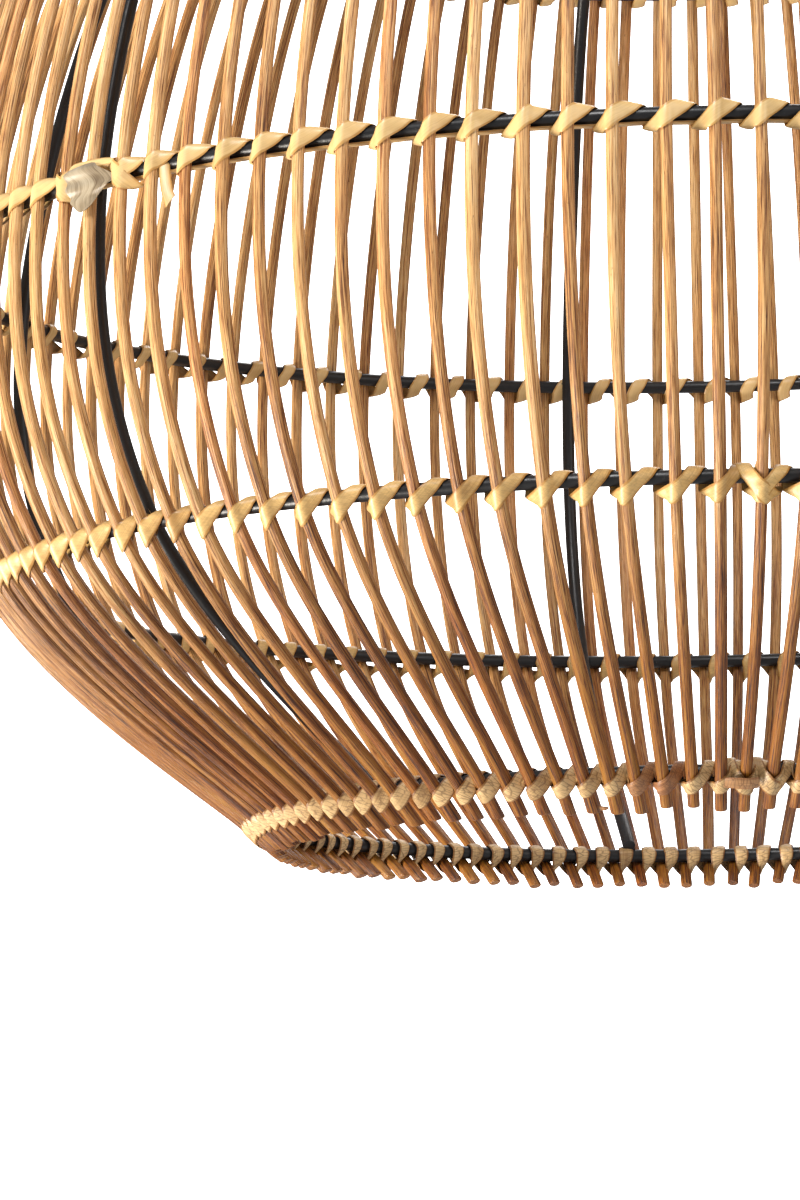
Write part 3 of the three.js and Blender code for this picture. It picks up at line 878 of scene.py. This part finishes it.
def roundedOutline(points, edge, closed):
    # an outline in mm with its corners rounded off and its long sides divided
    points = np.asarray(points, float)
    count = len(points)
    rounded = []
    for k, here in enumerate(points):
        if not closed and k in (0, count - 1):
            rounded.append(here)
            continue
        before, after = points[k - 1], points[(k + 1) % count]
        reach = min(edge, 0.4 * hypot(*(before - here)), 0.4 * hypot(*(after - here)))
        start = here + unit(before - here) * reach
        end = here + unit(after - here) * reach
        rounded += [start, start / 4 + here / 2 + end / 4, end]
    outline = []
    for k, here in enumerate(rounded):
        after = rounded[(k + 1) % len(rounded)]
        last = not closed and k == len(rounded) - 1
        pieces = 1 if last else max(1, int(hypot(*(after - here)) / 0.45))
        outline += [here + (after - here) * j / pieces for j in range(pieces)]
    return np.array(outline)


def turnedPiece(name, outline, material, body, replaced, edge=0.4, closed=True, shape=None):
    # an outline of (radius, height) in mm, turned round the axis; shape alters the radius on the way
    outline = roundedOutline(outline, edge, closed)
    turn = np.arange(120) * 2 * pi / 120
    radius, height = np.broadcast_arrays(outline[:, :1], outline[:, 1:], turn[None, :])[:2]
    if shape:
        radius = shape(radius, height, turn[None, :])
    rings = np.stack([radius * np.sin(turn), -radius * np.cos(turn), height], -1) * mm
    bag = newBag()
    addRings(bag, rings, 0.0, closed)
    return bagToPiece(bag, name, material, body, [replaced], 45)


def threaded(pitch, depth, low, high, least, most):
    # rounded screw thread between two heights, on walls whose radius lies between least and most
    def shape(radius, height, turn):
        fade = np.clip((height - low) / 1.2, 0, 1) * np.clip((high - height) / 1.2, 0, 1)
        wave = 0.5 - 0.5 * np.cos(2 * pi * height / pitch + turn)
        return np.where((radius > least) & (radius < most), radius - depth * wave * fade, radius)
    return shape


def hexagonal(radius, height, turn):
    flat = 6.93 / np.cos((turn + pi / 6) % (pi / 3) - pi / 6)
    return np.where(radius > 6, radius / 8 * np.minimum(flat, 7.85), radius)


def ridged(radius, height, turn):
    return np.where(radius > 26, radius - 1.1 * np.sqrt(0.5 - 0.5 * np.cos(12 * turn)), radius)


fittingOutlines = {
    "grip": [(3.5, -12), (8, -12), (8, 0), (3.5, 0)],
    "cap": [
        (5.3, -14.6), (8.5, -14.6), (13.8, -19), (16.9, -25), (17.8, -32), (17.8, -44), (19.6, -44),
        (19.6, -32), (18.6, -24), (15, -17), (9, -12.6), (5.3, -12.6),
    ],
    "sleeve": [
        (17.4, -78), (19.6, -78), (19.6, -52.7), (26, -52.7), (26, -50.1), (19.6, -50.1),
        (19.6, -44.3), (17.4, -44.3),
    ],
    "ringNut": [(19.9, -63.3), (27, -63.3), (27, -55.3), (19.9, -55.3)],
    "spiderRing": [(20.4, -55), (29, -55), (29, -53), (20.4, -53)],
    "screwShell": [(13.7, -75), (14.2, -75), (14.2, -49.8), (13.7, -49.8)],
    "bulbCap": [(11.2, -79.7), (13, -79.7), (13, -58.5), (12.2, -56.8), (11.2, -56.8)],
}
bulbCourse = [
    (0.05, -157.0), (9.3, -155.5), (17.6, -151.3), (24.3, -144.6), (28.5, -136.3), (30.0, -127.0),
    (28.7, -118.3), (25.2, -110.2), (20.6, -102.6), (17.0, -94.5), (14.4, -86.5), (13.4, -80.0),
]


def makeFittings(lacquer):
    black, brass, nickel = (fittingMaterial(name) for name in ("blackPlastic", "brass", "nickel"))
    ceramic, opal = fittingMaterial("ceramic"), fittingMaterial("opalGlass")
    shapes = fittingOutlines
    holder, plastic = "lampholder", "black_plastic"
    turnedPiece("grip", shapes["grip"], black, holder, "cord_grip", 0.6, shape=hexagonal)
    turnedPiece("cap", shapes["cap"], black, holder, "lampholder_cap")
    sleeveThread = threaded(2.5, 0.5, -77.5, -54, 19, 20)
    sleeve = shapes["sleeve"]
    turnedPiece("sleeve", sleeve, black, holder, "lampholder_sleeve", shape=sleeveThread)
    nut = "shade_ring_nut"
    turnedPiece("ringNut", shapes["ringNut"], black, nut, nut, 0.7, shape=ridged)
    shellThread = threaded(3.6, 0.4, -75, -51, 13, 15)
    shell = shapes["screwShell"]
    turnedPiece("screwShell", shell, brass, holder, "screw_shell", 0.1, shape=shellThread)
    capThread = threaded(3.6, 0.7, -77, -58, 12.5, 14)
    cap = shapes["bulbCap"]
    turnedPiece("bulbCap", cap, nickel, "bulb", "bulb_cap", shape=capThread)
    outer = smoothRows(bulbCourse, 5)
    # the glass wall is 1 mm thick
    inside = [(max(0.05, r - 1), z + (1 if k == 0 else 0.4)) for k, (r, z) in enumerate(bulbCourse)]
    inner = smoothRows(inside, 5)
    turnedPiece("bulbGlass", [*outer, *inner[::-1]], opal, "bulb", "bulb_glass", 0.1)
    turnedPiece("spiderRing", shapes["spiderRing"], lacquer, "shade", "spider_ring")
    kept = {
        "threaded_nipple": nickel, "contact_insert": ceramic, "centre_contact": brass,
        "side_contact": brass, "terminal_screw_live": nickel, "terminal_screw_neutral": nickel,
        "bulb_insulator": black, "bulb_tip_contact": brass,
    }
    for name, material in kept.items():
        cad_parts[name].material_slots[0].material = material


def makeArm(number, material):
    # a straight wire from the spider ring out to the top hoop, welded at both ends
    angle = ribAngle(2 * number)
    height = hoopPlaces[4][1]
    reach = np.linspace(28.7 * mm, hoopPlaces[4][0] - shadeSettings["wire"] * mm, 12)
    out = np.array([sin(angle), -cos(angle), 0])
    side = np.array([cos(angle), sin(angle), 0])
    path = out * reach[:, None] + (0, 0, height)
    bag = newBag()
    section = circleSection(shadeSettings["wire"] * mm, lacquerSettings["sides"], len(path))
    addSweep(bag, path, np.tile([0, 0, 1.0], (len(path), 1)), section)
    for place in (29 * mm, hoopPlaces[4][0] - 2 * mm):
        for hand in (-1, 1):
            weldBead(bag, out * place + side * hand * 1.9 * mm + (0, 0, height), (0, 0, 1.0), side)
    bagToPiece(bag, f"arm{number + 1}", material, "shade", [armNames[number]])


studioSettings = {
    "lens": 191.9,
    "distance": 2.160,
    "dropBelowBelly": 0.2819,  # camera height under the belly hoop
    "yaw": 2.79,  # degrees to the left of the shade's axis
    "pitch": 7.29,
    "roll": -0.72,
    "floorDrop": 5.5,  # floor under the rod ends
    "floorReach": 30,
    "floorGlow": 0.12,  # light that the floor gives off, so that it stays pale
    "backdrop": 3.0,  # brightness seen behind the shade
    "ambientBelow": 0.15,  # brightness that lights the shade, from under it and from over it
    "ambientAbove": 0.55,
    "lights": {
        "key": {"place": (-0.8, -2.4, 1.9), "size": (1.0, 1.0), "power": 88},
        "fill": {"place": (2.4, -1.8, 0.4), "size": (1.6, 2.0), "power": 23},
        "leftLow": {
            "place": (-2.3, -0.6, -1.6), "size": (1.0, 1.0), "power": 130, "colour": (1, 0.93, 0.82),
        },
        "backLight": {"place": (0.6, 2.2, 1.6), "size": (1.6, 1.6), "power": 40},
    },
}


def makeCamera():
    s = studioSettings
    data = bpy.data.cameras.new("camera")
    data.lens = s["lens"]
    data.sensor_width = 36
    data.clip_end = 100
    camera = bpy.data.objects.new("camera", data)
    bpy.context.scene.collection.objects.link(camera)
    camera.location = (0, -s["distance"], hoopPlaces[1][1] - s["dropBelowBelly"])
    yaw, pitch, roll = (radians(s[key]) for key in ("yaw", "pitch", "roll"))
    ahead = Vector((-sin(yaw) * cos(pitch), cos(yaw) * cos(pitch), sin(pitch)))
    level = Vector((cos(yaw), sin(yaw), 0))
    above = level.cross(ahead)
    right = level * cos(roll) + above * sin(roll)
    above = above * cos(roll) - level * sin(roll)
    camera.rotation_mode = "QUATERNION"
    camera.rotation_quaternion = Matrix((right, above, -ahead)).transposed().to_quaternion()
    bpy.context.scene.camera = camera


def addLight(name, target, place, size, power, colour=(1, 1, 1)):
    data = bpy.data.lights.new(name, "AREA")
    data.shape = "RECTANGLE"
    data.size, data.size_y = size
    data.energy = power
    data.color = colour
    light = bpy.data.objects.new(name, data)
    light.location = place
    light.rotation_mode = "QUATERNION"
    light.rotation_quaternion = (Vector(target) - Vector(place)).to_track_quat("-Z", "Y")
    bpy.context.scene.collection.objects.link(light)


def makeWorld():
    # the camera sees a white backdrop; the shade is lit by a dimmer one that brightens upward
    s = studioSettings
    world = bpy.data.worlds.new("studio")
    world.use_nodes = True
    tree = world.node_tree
    back = tree.nodes["Background"]
    back.inputs["Color"].default_value = (1, 1, 1, 1)
    seen = addNode(tree, "ShaderNodeLightPath").outputs["Is Camera Ray"]
    direction = addNode(tree, "ShaderNodeTexCoord").outputs["Generated"]
    slope = addNode(tree, "ShaderNodeSeparateXYZ", {"Vector": direction}).outputs["Z"]
    limits = {"Value": slope, "From Min": -0.6, "From Max": 0.8}
    limits.update({"To Min": s["ambientBelow"], "To Max": s["ambientAbove"]})
    ambient = addNode(tree, "ShaderNodeMapRange", limits).outputs[0]
    values = {"Value": seen, "To Min": ambient, "To Max": s["backdrop"]}
    tree.links.new(addNode(tree, "ShaderNodeMapRange", values).outputs[0], back.inputs["Strength"])
    bpy.context.scene.world = world


def makeLights():
    middle = (0, 0, hoopPlaces[2][1])
    for name, values in studioSettings["lights"].items():
        addLight(name, middle, **values)


def makeFloor():
    s = studioSettings
    material, tree, shader = newMaterial("paleFloor", 0.8)
    place = addNode(tree, "ShaderNodeTexCoord").outputs["Object"]
    cloud = stretchedNoise(tree, place, (3, 3, 3), 2.0)
    plaster = ramp(tree, cloud, [(0.3, (0.83, 0.82, 0.81)), (0.7, (0.86, 0.85, 0.84))])
    tree.links.new(plaster, shader.inputs["Base Color"])
    shader.inputs["Emission Color"].default_value = (1, 1, 1, 1)
    shader.inputs["Emission Strength"].default_value = s["floorGlow"]
    mesh = bpy.data.meshes.new("floor")
    reach = s["floorReach"]
    height = cadBox[0][2] - s["floorDrop"]
    corners = [(-reach, -reach), (reach, -reach), (reach, reach), (-reach, reach)]
    mesh.from_pydata([(x, y, height) for x, y in corners], [], [(0, 1, 2, 3)])
    mesh.materials.append(material)
    floor = bpy.data.objects.new("floor", mesh)
    bpy.context.scene.collection.objects.link(floor)


makeCamera()
makeWorld()
makeLights()
makeFloor()
bpy.context.scene.view_settings.view_transform = "Standard"
print("studio ready")

makeCanes(caneMaterial())
print("canes laid:", rodCount)

lacquer = lacquerMaterial()
for hoopName, hoopSpot in zip(hoopNames, hoopPlaces):
    makeHoop(hoopName, hoopSpot, lacquer)
for ribNumber in range(len(ribNames)):
    makeRib(ribNumber, lacquer)
for armNumber in range(len(armNames)):
    makeArm(armNumber, lacquer)
print("wire frame ready")

makeFittings(lacquer)
print("lampholder and bulb ready")

peels = {key: peelMaterial(key) for key in peelLooks}
for hoopIndex, hoopName in enumerate(hoopNames):
    makeBinding(hoopIndex, peels[peelOnHoop[hoopName]])
print("bindings wound")
